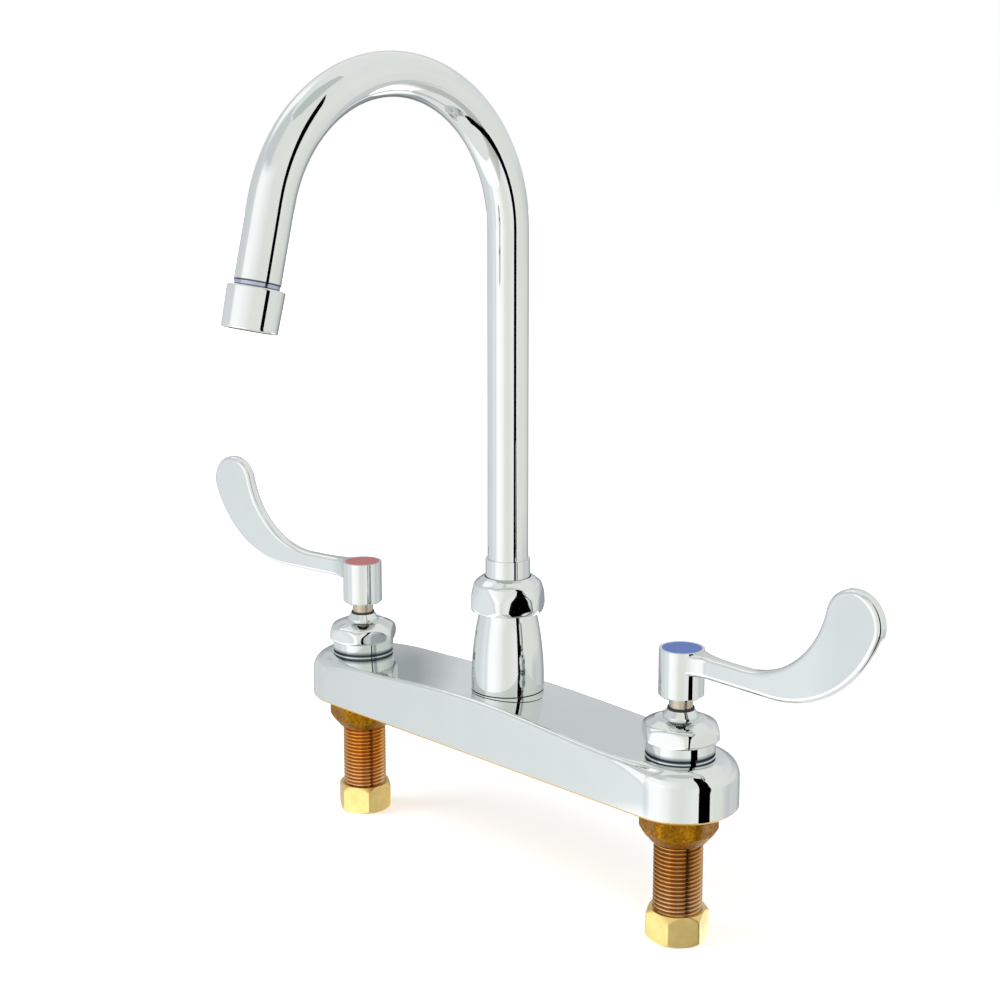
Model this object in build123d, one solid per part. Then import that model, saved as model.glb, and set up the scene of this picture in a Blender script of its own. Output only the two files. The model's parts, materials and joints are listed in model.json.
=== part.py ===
from build123d import *
import math
import os

# Deck-mount gooseneck faucet with two wrist-blade handles. Sizes in millimetres, +Z up.
# The origin lies on the deck, in the middle of the body. The hot valve is at -X, the cold
# valve at +X, and the spout reaches towards -Y.

# Layout
valve_spacing = 203.2
valve_x = valve_spacing / 2

# Clearances
running_gap = 0.05
seat_gap = 0.05
loose_gap = 0.3

# Body casting
body_half_depth = 24.2
body_end_overhang = 0.8
body_slab_height = 6.0
end_height = 22.0
crown_front_height = 26.6
crown_back_height = 24.4
crown_half_length = 95.0
edge_round = 2.0
end_shoulder_round = 8.5
shoulder_blend_start = 84.0
body_section_count = 17
underside_chamfer = 0.8

# Hollow underside: a rim on the deck, and bosses inside it
rim_width = 4.2
hollow_top = 17.0
valve_boss_radius = 15.4
passage_wall = 2.6
spout_boss_wall = 3.0

# Valve neck on the body and the pocket inside it
neck_radius = 14.7
neck_groove_radius = 13.8
neck_groove_top = 23.6
neck_groove_height = 0.9
neck_top = 28.6
pocket_thread_radius = 12.6
pocket_ledge_z = 20.5
pocket_radius = 9.9
pocket_floor_thickness = 2.5
supply_port_radius = 4.5

# Water passages in the body
waterway_radius = 4.0
waterway_z = 14.6
spout_bore_radius = 9.0
spout_bore_floor_z = 8.0

# Shanks, lock nuts and coupling nuts
shank_radius = 20.955 / 2
shank_bore_radius = 6.4
thread_pitch = 25.4 / 14
thread_depth = 0.85
thread_crest_share = 0.3
shank_socket_depth = 7.0
shank_plain_length = 1.6
shank_bottom_z = -54.2
lock_nut_height = 15.4
lock_nut_across_flats = 30.0
lock_nut_corner_radius = 16.4
lock_nut_chamfer_height = 5.3
lock_nut_bottom_radius = 11.8
coupling_nut_top_z = -45.7
coupling_nut_height = 13.4
coupling_nut_across_flats = 23.8
coupling_nut_chamfer = 1.3
coupling_nut_web = 2.2
coupling_nut_hole_radius = 7.6
supply_tube_radius = 12.7 / 2

# Cartridge
seal_height = 2.0
seal_wall = 2.4
disc_height = 3.0
fixed_disc_radius = 7.5
moving_disc_radius = 7.2
disc_port_radius = 2.1
disc_port_offset = 4.0
key_width = 3.0
key_height = 1.2
cartridge_radius = 9.6
cartridge_chamber_radius = 7.6
cartridge_flange_radius = 12.3
cartridge_flange_height = 2.0
cartridge_neck_radius = 6.8
cartridge_neck_top = 34.8
cartridge_window_height = 4.4
cartridge_window_width = 6.0
o_ring_section = 1.6
cartridge_o_ring_z = (12.3, 19.0)

# Stem
stem_radius = 5.0
stem_foot_radius = 6.6
stem_foot_height = 2.4
stem_shoulder_z = 48.6
stem_square_width = 7.4
stem_top = 58.0

# Bonnet nut, its collar and the dust ring
bonnet_hex_top = 38.0
bonnet_across_flats = 30.2
bonnet_corner_radius = 17.3
bonnet_bottom_radius = 16.6
bonnet_shoulder_z = 33.0
bonnet_lower_edge_z = 29.6
bonnet_top_radius = 7.5
bonnet_dome_rise = 2.1
bonnet_bore_radius = 9.2
bonnet_web_z = 35.6
bonnet_hole_radius = 6.9
collar_base_radius = 7.5
collar_top_radius = 5.8
collar_top = 41.3
collar_base_height = 0.9
dust_ring_height = 0.8
dust_ring_radius = 5.65

# Blade handles
hub_radius = 9.5
hub_bottom = 47.0
hub_top = 67.3
hub_chamfer = 0.7
hub_screw_floor = 60.4
blade_thickness = 6.0
blade_edge_round = 2.2
blade_reach = 100.0
blade_top = 109.8
blade_tip_radius = 12.8
arm_bottom = 57.7
arm_top = 66.9
inner_sweep_radius = 42.0
outer_sweep_radius = 54.0
fairing_radius = 45.0
front_fairing_radius = 16.0
hot_blade_angle = 188.2
cold_blade_angle = -3.3

# Handle screw and index button
button_radius = 8.2
button_height = 1.5
button_plug_radius = 4.6
button_plug_height = 1.4
screw_head_radius = 3.7
screw_head_height = 3.0
screw_shank_radius = 2.1
screw_length = 7.0
screw_drive_width = 2.5
screw_drive_depth = 1.8

# Spout riser and spout nut
boss_radius = 16.6
boss_top = 26.5
riser_base_radius = 16.4
riser_middle_radius = 15.75
riser_shoulder_z = 62.6
riser_thread_radius = 12.9
riser_top = 71.8
riser_spigot_radius = 11.6
riser_spigot_depth = 6.0
riser_passage_radius = 7.5
riser_sleeve_floor = 42.0
gasket_height = 0.5
spout_nut_bottom = 63.4
spout_nut_top = 79.2
spout_nut_across_flats = 31.2
spout_nut_corner_radius = 16.95
spout_nut_bottom_radius = 15.9
spout_nut_widest_z = 65.4
spout_nut_shoulder_z = 76.6
spout_nut_shoulder_radius = 14.6
spout_nut_hole_radius = 10.5
spout_nut_web_z = 76.4
glide_ring_height = 0.8

# Spout tube, sleeve and aerator
tube_radius = 9.2
tube_wall = 1.3
arch_radius = 65.06
arch_start_z = 234.5
arch_angle = 166.3
outlet_straight = 33.2
sleeve_barrel_radius = 11.4
sleeve_flange_radius = 12.2
sleeve_collar_radius = 10.1
sleeve_bottom = 44.0
sleeve_top = 87.1
sleeve_ring_z = (50.0, 58.0)
aerator_radius = 11.4
aerator_foot_radius = 11.05
aerator_length = 16.8
aerator_wall = 1.4
aerator_edge_round = 0.8
aerator_grip = 5.0
outlet_neck_radius = 8.9
outlet_neck_length = 1.8
aerator_lip = 1.6
aerator_washer_height = 1.6
aerator_cell_radius = 1.0
aerator_cell_rings = 3
cells_in_first_ring = 6

# Turn of each hexagon about its own axis, in degrees, as it stands when tightened
hex_turn = {
    "hot_bonnet": -50.4,
    "cold_bonnet": -41.0,
    "hot_lock": -71.0,
    "cold_lock": -81.0,
    "hot_coupling": -31.6,
    "cold_coupling": -67.8,
    "spout": -57.0,
}

nodes = {}


def lathe(*points):
    """Turn a closed outline of (radius, height) points about the Z axis."""
    outline = make_face(Polyline(*points, close=True))
    return revolve(Plane.XZ * outline, Axis.Z)


def tube(outer, inner, bottom, top):
    """A plain ring between two heights."""
    return lathe((inner, bottom), (outer, bottom), (outer, top), (inner, top))


def rod(radius, bottom, top):
    """A plain round bar between two heights."""
    return Pos(0, 0, bottom) * Cylinder(
        radius, top - bottom, align=(Align.CENTER, Align.CENTER, Align.MIN)
    )


def turned(*edges):
    """Turn an outline made of lines and arcs about the Z axis."""
    return revolve(Plane.XZ * make_face(Curve() + list(edges)), Axis.Z)


def hexagon_bar(across_flats, bottom, top, turn):
    """A hexagonal bar with one corner at the given turn."""
    corner = across_flats / math.sqrt(3)
    outline = RegularPolygon(corner, 6, rotation=turn)
    return Pos(0, 0, bottom) * extrude(outline, top - bottom)


def square_bar(width, bottom, top):
    """A square bar between two heights."""
    return Pos(0, 0, bottom) * Box(
        width, width, top - bottom, align=(Align.CENTER, Align.CENTER, Align.MIN)
    )


def o_ring(middle_radius, section, z):
    """A round-section ring."""
    return Pos(0, 0, z) * Torus(middle_radius, section / 2)


def at_valve(side, piece):
    """Place a piece that was made on the Z axis at the hot (-1) or cold (+1) valve."""
    return Pos(side * valve_x, 0, 0) * piece


# Body: crowned top, round ends, necks and hollows

def smooth_step(share):
    """Rise from 0 to 1 with level ends."""
    share = min(1.0, max(0.0, share))
    return share * share * (3 - 2 * share)


def body_section(x):
    """Section of the body's upper part at one place along it, with rounded top corners."""
    crown = (1 + math.cos(math.pi * min(1.0, abs(x) / crown_half_length))) / 2
    front = end_height + (crown_front_height - end_height) * crown
    back = end_height + (crown_back_height - end_height) * crown
    blend = smooth_step((abs(x) - shoulder_blend_start) / (body_end_x - shoulder_blend_start))
    shoulder = edge_round + (end_shoulder_round - edge_round) * blend
    outline = make_face(
        Polyline(
            (-body_half_depth, body_slab_height),
            (body_half_depth, body_slab_height),
            (body_half_depth, back),
            (-body_half_depth, front),
            close=True,
        )
    )
    top_corners = outline.vertices().sort_by(Axis.Y)[-2:]
    return Plane.YZ.offset(x) * fillet(top_corners, shoulder)


def body_end(side):
    """Round end of the body, turned about its own upright axis."""
    flat_radius = body_half_depth - end_shoulder_round
    shoulder_z = end_height - end_shoulder_round
    wall_low = (body_half_depth, body_slab_height)
    wall_high = (body_half_depth, shoulder_z)
    end = turned(
        Polyline((flat_radius, end_height), (0, end_height), (0, body_slab_height), wall_low,
                 wall_high),
        CenterArc((flat_radius, shoulder_z), end_shoulder_round, 0, 90),
    )
    outer_half = Pos(side * body_half_depth, 0, 0) * Box(
        2 * body_half_depth, 3 * body_half_depth, 4 * end_height
    )
    return Pos(side * body_end_x, 0, 0) * (end & outer_half)


body_end_x = valve_x + body_end_overhang
pocket_floor_z = shank_socket_depth + pocket_floor_thickness
hub_socket_floor = stem_top + seat_gap

slab_outline = SlotCenterToCenter(2 * body_end_x, 2 * body_half_depth)
slab = extrude(slab_outline, body_slab_height)
slab = chamfer(slab.edges().group_by(Axis.Z)[0], underside_chamfer)

section_step = 2 * body_end_x / (body_section_count - 1)
sections = [body_section(-body_end_x + section_step * i) for i in range(body_section_count)]
body = slab + loft(sections) + body_end(-1) + body_end(1)

body += rod(boss_radius, body_slab_height, boss_top)

neck_groove_bottom = neck_groove_top - neck_groove_height
neck = lathe(
    (0, body_slab_height),
    (neck_radius, body_slab_height),
    (neck_radius, neck_groove_bottom),
    (neck_groove_radius, neck_groove_bottom),
    (neck_groove_radius, neck_groove_top),
    (neck_radius, neck_groove_top),
    (neck_radius, neck_top),
    (0, neck_top),
)
shank_socket = rod(shank_radius + seat_gap, 0, shank_socket_depth)
supply_port = rod(supply_port_radius, shank_socket_depth, pocket_floor_z)
pocket = rod(pocket_radius, pocket_floor_z, pocket_ledge_z)
pocket_thread = rod(pocket_thread_radius, pocket_ledge_z, neck_top)
for side in (-1, 1):
    body += at_valve(side, neck)
    for hollow in (shank_socket, supply_port, pocket, pocket_thread):
        body -= at_valve(side, hollow)

waterway = Rot(0, 90, 0) * Cylinder(waterway_radius, valve_spacing)
spigot_socket_floor = boss_top - riser_spigot_depth
body -= Pos(0, 0, waterway_z) * waterway
body -= rod(spout_bore_radius, spout_bore_floor_z, boss_top)
body -= rod(riser_spigot_radius + seat_gap, spigot_socket_floor, boss_top)

hollow_outline = SlotCenterToCenter(2 * body_end_x, 2 * (body_half_depth - rim_width))
hollow = extrude(hollow_outline, hollow_top)
passage_casing = Rot(0, 90, 0) * Cylinder(waterway_radius + passage_wall, valve_spacing)
spout_boss_radius = riser_spigot_radius + seat_gap + spout_boss_wall
hollow -= rod(spout_boss_radius, spout_bore_floor_z - spout_boss_wall, hollow_top)
hollow -= Pos(0, 0, waterway_z) * passage_casing
for side in (-1, 1):
    hollow -= at_valve(side, rod(valve_boss_radius, 0, hollow_top))
body -= hollow
nodes["body_casting"] = body


# Supply side: shanks, lock nuts, coupling nuts and their washers

def shank():
    """Threaded supply shank, its thread shown as turned grooves of the same pitch."""
    crest = thread_pitch * thread_crest_share
    top = shank_socket_depth - seat_gap
    groove_root = shank_radius - thread_depth
    thread_top = -shank_plain_length
    turns = int((thread_top - shank_bottom_z - shank_plain_length) / thread_pitch)
    outline = [(shank_bore_radius, shank_bottom_z), (shank_bore_radius, top)]
    outline += [(shank_radius, top), (shank_radius, thread_top)]
    for i in range(turns):
        z = thread_top - i * thread_pitch
        outline.append((groove_root, z - (thread_pitch - crest) / 2))
        outline.append((shank_radius, z - thread_pitch + crest))
        outline.append((shank_radius, z - thread_pitch))
    outline.append((shank_radius, shank_bottom_z))
    return lathe(*outline)


def lock_nut(turn):
    """Cast hexagon nut with a long cone on its lower side."""
    cone = lathe(
        (shank_radius + seat_gap, -lock_nut_height),
        (lock_nut_bottom_radius, -lock_nut_height),
        (lock_nut_corner_radius, -lock_nut_height + lock_nut_chamfer_height),
        (lock_nut_corner_radius, 0),
        (shank_radius + seat_gap, 0),
    )
    return cone & hexagon_bar(lock_nut_across_flats, -lock_nut_height, 0, turn)


def coupling_nut(turn):
    """Hexagon nut that draws the supply tube up against the shank's end."""
    bottom = coupling_nut_top_z - coupling_nut_height
    corner = coupling_nut_across_flats / math.sqrt(3)
    shell = lathe(
        (coupling_nut_hole_radius, bottom),
        (corner - coupling_nut_chamfer, bottom),
        (corner, bottom + coupling_nut_chamfer),
        (corner, coupling_nut_top_z - coupling_nut_chamfer),
        (corner - coupling_nut_chamfer, coupling_nut_top_z),
        (shank_radius + seat_gap, coupling_nut_top_z),
        (shank_radius + seat_gap, bottom + coupling_nut_web),
        (coupling_nut_hole_radius, bottom + coupling_nut_web),
    )
    return shell & hexagon_bar(coupling_nut_across_flats, bottom, coupling_nut_top_z, turn)


def coupling_washer():
    """Cone washer between the coupling nut's web and the shank's end."""
    floor = coupling_nut_top_z - coupling_nut_height + coupling_nut_web
    return lathe(
        (supply_tube_radius, floor),
        (shank_radius - seat_gap, floor),
        (shank_radius - seat_gap, floor + coupling_nut_web / 2),
        (supply_tube_radius + seal_wall, shank_bottom_z),
        (supply_tube_radius, shank_bottom_z),
    )


# Valve: everything from the seat up to the dust ring

disc_seat_z = pocket_floor_z + seal_height
moving_disc_z = disc_seat_z + disc_height
stem_foot_z = moving_disc_z + disc_height
stem_shoulder_top = stem_foot_z + stem_foot_height


def disc_ports(bottom):
    """Two round ports that pass through a disc."""
    port = rod(disc_port_radius, bottom, bottom + disc_height)
    return [Pos(0, offset, 0) * port for offset in (-disc_port_offset, disc_port_offset)]


def seat_seal():
    """Rubber seal between the pocket's floor and the fixed disc."""
    outer = supply_port_radius + seal_wall
    return tube(outer, supply_port_radius, pocket_floor_z, disc_seat_z)


def fixed_disc():
    """Lower ceramic disc, which stays still."""
    disc = rod(fixed_disc_radius, disc_seat_z, moving_disc_z)
    for port in disc_ports(disc_seat_z):
        disc -= port
    return disc


def moving_disc():
    """Upper ceramic disc, which turns with the stem and has a slot for its key."""
    disc = rod(moving_disc_radius, moving_disc_z, stem_foot_z)
    for port in disc_ports(moving_disc_z):
        disc -= Rot(0, 0, 90) * port
    slot = Box(key_width + 2 * seat_gap, 2 * moving_disc_radius, key_height + seat_gap)
    slot_middle = stem_foot_z - (key_height + seat_gap) / 2
    return disc - Pos(0, 0, slot_middle) * slot


def cartridge_housing():
    """Brass housing that holds the discs and the stem, with a window to each side."""
    flange_bottom = pocket_ledge_z
    flange_top = flange_bottom + cartridge_flange_height
    chamber_top = stem_shoulder_top + running_gap
    stem_hole = stem_radius + running_gap
    housing = lathe(
        (cartridge_chamber_radius, disc_seat_z - seal_height / 2),
        (cartridge_radius, disc_seat_z - seal_height / 2),
        (cartridge_radius, flange_bottom),
        (cartridge_flange_radius, flange_bottom),
        (cartridge_flange_radius, flange_top),
        (cartridge_neck_radius, flange_top),
        (cartridge_neck_radius, cartridge_neck_top),
        (stem_hole, cartridge_neck_top),
        (stem_hole, chamber_top),
        (cartridge_chamber_radius, chamber_top),
    )
    window = Box(2 * pocket_radius, cartridge_window_width, cartridge_window_height)
    window_z = (cartridge_o_ring_z[0] + cartridge_o_ring_z[1]) / 2
    housing -= Pos(0, 0, window_z) * window
    for z in cartridge_o_ring_z:
        half = o_ring_section / 2
        housing -= tube(pocket_radius, pocket_radius - o_ring_section, z - half, z + half)
    return housing


def cartridge_o_rings():
    """Two rings that seal the housing in its pocket."""
    middle = pocket_radius - o_ring_section / 2
    return Compound([o_ring(middle, o_ring_section, z) for z in cartridge_o_ring_z])


def stem():
    """Valve stem: foot with a key, round shaft, square end with a hole for the screw."""
    shaft = rod(stem_radius, stem_shoulder_top, stem_shoulder_z)
    foot = rod(stem_foot_radius, stem_foot_z, stem_shoulder_top)
    key = Box(key_width, 2 * stem_foot_radius, key_height)
    key = Pos(0, 0, stem_foot_z - key_height / 2) * key
    key = key & rod(stem_foot_radius, stem_foot_z - key_height, stem_foot_z)
    drive = square_bar(stem_square_width, stem_shoulder_z, stem_top)
    drive = drive & rod(stem_radius, stem_shoulder_z, stem_top)
    screw_hole = rod(screw_shank_radius, hub_screw_floor - screw_length - seat_gap, stem_top)
    return shaft + foot + key + drive - screw_hole


def bonnet_nut(turn):
    """Domed hexagon nut whose threaded skirt holds the cartridge down."""
    dome_start = (bonnet_top_radius, bonnet_hex_top)
    dome_end = (bonnet_corner_radius, bonnet_shoulder_z)
    dome_middle = (
        (bonnet_top_radius + bonnet_corner_radius) / 2,
        (bonnet_hex_top + bonnet_shoulder_z) / 2 + bonnet_dome_rise / 2,
    )
    head = turned(
        ThreePointArc(dome_start, dome_middle, dome_end),
        Polyline(
            dome_end,
            (bonnet_corner_radius, bonnet_lower_edge_z),
            (bonnet_bottom_radius, neck_top),
            (0, neck_top),
            (0, bonnet_hex_top),
            dome_start,
        ),
    )
    head = head & hexagon_bar(bonnet_across_flats, neck_top, bonnet_hex_top, turn)
    flange_top = pocket_ledge_z + cartridge_flange_height
    skirt = rod(pocket_thread_radius - seat_gap, flange_top, neck_top)
    nut = head + skirt - rod(bonnet_bore_radius, flange_top, bonnet_web_z)
    return nut - rod(bonnet_hole_radius, bonnet_web_z, bonnet_hex_top)


def stem_collar():
    """Flared collar on the bonnet nut that steadies the stem."""
    stem_hole = stem_radius + running_gap
    spigot = bonnet_hole_radius - seat_gap
    return lathe(
        (stem_hole, cartridge_neck_top),
        (spigot, cartridge_neck_top),
        (spigot, bonnet_hex_top),
        (collar_base_radius, bonnet_hex_top),
        (collar_base_radius, bonnet_hex_top + collar_base_height),
        (collar_top_radius, collar_top),
        (stem_hole, collar_top),
    )


def dust_ring():
    """Rubber ring on the stem, just above the collar."""
    bottom = collar_top + running_gap
    return tube(dust_ring_radius, stem_radius, bottom, bottom + dust_ring_height)


# Blade handles

def blade_profile():
    """Side outline of arm and blade: two level lines, two sweeps and a round tip."""
    tip = Vector(blade_reach - blade_tip_radius, blade_top - blade_tip_radius)
    inner_z = arm_top + inner_sweep_radius
    inner_span = inner_sweep_radius + blade_tip_radius
    inner = Vector(tip.X - math.sqrt(inner_span**2 - (inner_z - tip.Y) ** 2), inner_z)
    outer_z = arm_bottom + outer_sweep_radius
    outer_span = outer_sweep_radius - blade_tip_radius
    outer = Vector(tip.X - math.sqrt(outer_span**2 - (outer_z - tip.Y) ** 2), outer_z)
    inner_low = Vector(inner.X, arm_top)
    outer_low = Vector(outer.X, arm_bottom)
    inner_high = tip + (inner - tip).normalized() * blade_tip_radius
    outer_high = tip + (tip - outer).normalized() * blade_tip_radius
    inner_middle = inner + ((inner_low + inner_high) / 2 - inner).normalized() * inner_sweep_radius
    outer_middle = outer + ((outer_low + outer_high) / 2 - outer).normalized() * outer_sweep_radius
    tip_top = tip + Vector(0, blade_tip_radius)
    return make_face(
        Curve() + [
            Polyline(inner_low, (0, arm_top), (0, arm_bottom), outer_low),
            ThreePointArc(outer_low, outer_middle, outer_high),
            ThreePointArc(outer_high, tip_top, inner_high),
            ThreePointArc(inner_high, inner_middle, inner_low),
        ]
    )


def fairing(radius, side):
    """Hollow curve from the hub to one face of the blade: its start, middle and end."""
    half = blade_thickness / 2
    centre_y = half + radius
    span = radius + hub_radius
    centre_x = math.sqrt(span**2 - centre_y**2)
    share = hub_radius / span
    touch = (centre_x * share, centre_y * share)
    start = math.atan2(touch[1] - centre_y, touch[0] - centre_x)
    angle = (start - math.pi / 2) / 2
    middle = (centre_x + radius * math.cos(angle), centre_y + radius * math.sin(angle))
    return [(x, side * y) for x, y in (touch, middle, (centre_x, half))]


def blade_plan(front):
    """Outline from above: the hub narrows to the blade, more tightly on its front (+1 or -1)."""
    radius = {front: front_fairing_radius, -front: fairing_radius}
    left_touch, left_middle, left_end = fairing(radius[1], 1)
    right_touch, right_middle, right_end = fairing(radius[-1], -1)
    far = 2 * blade_reach
    return make_face(
        Curve() + [
            ThreePointArc(left_touch, left_middle, left_end),
            Polyline(left_end, (far, left_end[1]), (far, right_end[1]), right_end),
            ThreePointArc(right_end, right_middle, right_touch),
            Polyline(right_touch, (0, 0), left_touch),
        ]
    )


def blade_handle(front):
    """Hub and blade in one casting, pointing along +X; the two handles are mirror images."""
    profile = extrude(Plane.XZ * blade_profile(), 2 * hub_radius, both=True)
    plan = extrude(blade_plan(front), 2 * blade_top)
    arm = profile & plan
    rim = [edge for edge in arm.edges() if edge.center().X > hub_radius and not is_upright(edge)]
    arm = fillet(rim, blade_edge_round)
    hub = rod(hub_radius, hub_bottom, hub_top)
    hub = chamfer(hub.edges().group_by(Axis.Z)[0], hub_chamfer)
    handle = hub + arm
    handle -= rod(stem_radius + loose_gap, hub_bottom, stem_shoulder_z + seat_gap)
    handle -= square_bar(stem_square_width + 2 * seat_gap, stem_shoulder_z, hub_socket_floor)
    handle -= rod(screw_shank_radius + seat_gap, hub_socket_floor, hub_screw_floor)
    recess_floor = hub_top - button_height
    handle -= rod(button_plug_radius, hub_screw_floor, recess_floor)
    handle -= rod(button_radius + seat_gap, recess_floor, hub_top)
    return handle


def is_upright(edge):
    """Tell whether an edge runs straight up."""
    start, end = edge @ 0, edge @ 1
    return abs(start.X - end.X) + abs(start.Y - end.Y) < 0.01


def handle_screw():
    """Screw that holds the handle on the stem, with a hexagon socket."""
    head_top = hub_screw_floor + screw_head_height
    head = rod(screw_head_radius, hub_screw_floor, head_top)
    shank_bottom = hub_screw_floor - screw_length
    shaft = rod(screw_shank_radius, shank_bottom, hub_screw_floor)
    drive = hexagon_bar(screw_drive_width, head_top - screw_drive_depth, head_top, 0)
    return head + shaft - drive


def index_button():
    """Coloured button that closes the hub, with a plug below it."""
    floor = hub_top - button_height
    plug = rod(button_plug_radius - seat_gap, floor - button_plug_height, floor)
    return rod(button_radius, floor, hub_top) + plug


for name, side, blade_angle in (
    ("hot", -1, hot_blade_angle),
    ("cold", 1, cold_blade_angle),
):
    handle_turn = Rot(0, 0, blade_angle)
    pieces = {
        "shank": shank(),
        "lock_nut": lock_nut(hex_turn[name + "_lock"]),
        "coupling_nut": coupling_nut(hex_turn[name + "_coupling"]),
        "coupling_washer": coupling_washer(),
        "seat_seal": seat_seal(),
        "fixed_disc": fixed_disc(),
        "moving_disc": handle_turn * moving_disc(),
        "cartridge_housing": cartridge_housing(),
        "cartridge_o_rings": cartridge_o_rings(),
        "stem": handle_turn * stem(),
        "bonnet_nut": bonnet_nut(hex_turn[name + "_bonnet"]),
        "stem_collar": stem_collar(),
        "dust_ring": dust_ring(),
        "blade_handle": handle_turn * blade_handle(-side),
        "handle_screw": handle_turn * handle_screw(),
        "index_button": index_button(),
    }
    for piece_name, piece in pieces.items():
        nodes[name + "_" + piece_name] = at_valve(side, piece)


# Spout riser, gasket, glide rings and spout nut

def spout_riser():
    """Bell-shaped riser with a spigot in the body and a thread for the spout nut."""
    base_z = boss_top + gasket_height
    arc = ThreePointArc(
        (riser_base_radius, base_z),
        (riser_middle_radius, (base_z + riser_shoulder_z) / 2),
        (riser_thread_radius, riser_shoulder_z),
    )
    sleeve_bore = sleeve_barrel_radius + running_gap
    spigot_bottom = boss_top - riser_spigot_depth + seat_gap
    rest = Polyline(
        (riser_thread_radius, riser_shoulder_z),
        (riser_thread_radius, riser_top),
        (sleeve_bore, riser_top),
        (sleeve_bore, riser_sleeve_floor),
        (riser_passage_radius, riser_sleeve_floor),
        (riser_passage_radius, spigot_bottom),
        (riser_spigot_radius, spigot_bottom),
        (riser_spigot_radius, base_z),
        (riser_base_radius, base_z),
    )
    return turned(arc, rest)


def riser_gasket():
    """Thin seal in the seam between the riser and the body."""
    return tube(riser_base_radius - gasket_height, riser_spigot_radius, boss_top,
                boss_top + gasket_height)


flange_bottom = riser_top + glide_ring_height
flange_top = spout_nut_web_z - glide_ring_height


def glide_rings():
    """Two slippery rings, below and above the sleeve's flange."""
    lower = tube(riser_thread_radius - seat_gap, sleeve_barrel_radius + running_gap,
                 riser_top, flange_bottom)
    upper = tube(sleeve_flange_radius, sleeve_collar_radius + loose_gap, flange_top,
                 spout_nut_web_z)
    return Compound([lower, upper])


def spout_nut(turn):
    """Rounded hexagon nut that holds the spout's flange down."""
    dome_start = (spout_nut_hole_radius, spout_nut_top)
    shoulder = (spout_nut_shoulder_radius, spout_nut_shoulder_z)
    widest = (spout_nut_corner_radius, spout_nut_widest_z)
    bulge = (
        (shoulder[0] + widest[0]) / 2 + (widest[0] - shoulder[0]) / 4,
        (shoulder[1] + widest[1]) / 2,
    )
    bore = riser_thread_radius + seat_gap
    shell = turned(
        Polyline(dome_start, shoulder),
        ThreePointArc(shoulder, bulge, widest),
        Polyline(
            widest,
            (spout_nut_bottom_radius, spout_nut_bottom),
            (bore, spout_nut_bottom),
            (bore, spout_nut_web_z),
            (spout_nut_hole_radius, spout_nut_web_z),
            dome_start,
        ),
    )
    return shell & hexagon_bar(spout_nut_across_flats, spout_nut_bottom, spout_nut_top, turn)


nodes["spout_riser"] = spout_riser()
nodes["riser_gasket"] = riser_gasket()
nodes["spout_glide_rings"] = glide_rings()
nodes["spout_nut"] = spout_nut(hex_turn["spout"])


# Spout: sleeve, tube and aerator

def spout_sleeve():
    """Sleeve brazed to the tube: grooved barrel, flange and visible collar."""
    ring_half = o_ring_section / 2
    sleeve = lathe(
        (tube_radius, sleeve_bottom),
        (sleeve_barrel_radius, sleeve_bottom),
        (sleeve_barrel_radius, flange_bottom),
        (sleeve_flange_radius, flange_bottom),
        (sleeve_flange_radius, flange_top),
        (sleeve_collar_radius, flange_top),
        (sleeve_collar_radius, sleeve_top),
        (tube_radius, sleeve_top),
    )
    for z in sleeve_ring_z:
        sleeve -= tube(sleeve_barrel_radius, sleeve_barrel_radius - o_ring_section,
                       z - ring_half, z + ring_half)
    return sleeve


def spout_o_rings():
    """Two rings that seal the sleeve in the riser."""
    middle = sleeve_barrel_radius - o_ring_section / 2
    return Compound([o_ring(middle, o_ring_section, z) for z in sleeve_ring_z])


arch_turn = math.radians(arch_angle)
arch_end = Vector(0, -arch_radius * (1 - math.cos(arch_turn)),
                  arch_start_z + arch_radius * math.sin(arch_turn))
outlet_direction = Vector(0, -math.sin(arch_turn), math.cos(arch_turn))
tube_end = arch_end + outlet_direction * (outlet_straight + aerator_grip)


def spout_tube():
    """Bent tube: straight leg, one round arch and a straight outlet turned down at its end."""
    leg_bottom = Vector(0, 0, sleeve_bottom)
    leg_top = Vector(0, 0, arch_start_z)
    half_turn = arch_turn / 2
    arch_middle = Vector(0, -arch_radius * (1 - math.cos(half_turn)),
                         arch_start_z + arch_radius * math.sin(half_turn))
    path = Curve() + [
        Line(leg_bottom, leg_top),
        ThreePointArc(leg_top, arch_middle, arch_end),
        Line(arch_end, tube_end),
    ]
    section = Circle(tube_radius) - Circle(tube_radius - tube_wall)
    neck_cut = tube(tube_radius + seat_gap, outlet_neck_radius,
                    -aerator_grip - outlet_neck_length, seat_gap)
    return sweep(Pos(leg_bottom) * section, path) - at_outlet(neck_cut)


def at_outlet(piece):
    """Place a piece made on the Z axis at the tube's end, its +Z along the water's way."""
    return Plane(origin=tube_end, x_dir=(1, 0, 0), z_dir=outlet_direction) * piece


aerator_seat = aerator_washer_height
aerator_bottom = aerator_length - aerator_grip
aerator_bore = aerator_radius - aerator_wall


def aerator_housing():
    """Outlet housing gripped on the tube's end, slightly narrower at its foot."""
    shell = lathe(
        (outlet_neck_radius, -aerator_grip),
        (aerator_radius, -aerator_grip),
        (aerator_foot_radius, aerator_bottom),
        (aerator_bore - aerator_lip, aerator_bottom),
        (aerator_bore - aerator_lip, aerator_bottom - aerator_wall),
        (aerator_bore, aerator_bottom - aerator_wall),
        (aerator_bore, 0),
        (outlet_neck_radius, 0),
    )
    rims = [
        edge for edge in shell.edges().filter_by(GeomType.CIRCLE)
        if edge.radius > aerator_foot_radius - seat_gap
    ]
    return fillet(rims, aerator_edge_round)


def aerator_washer():
    """Flat seal between the tube's end and the aerator insert."""
    return tube(aerator_bore, tube_radius - tube_wall, 0, aerator_washer_height)


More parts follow.
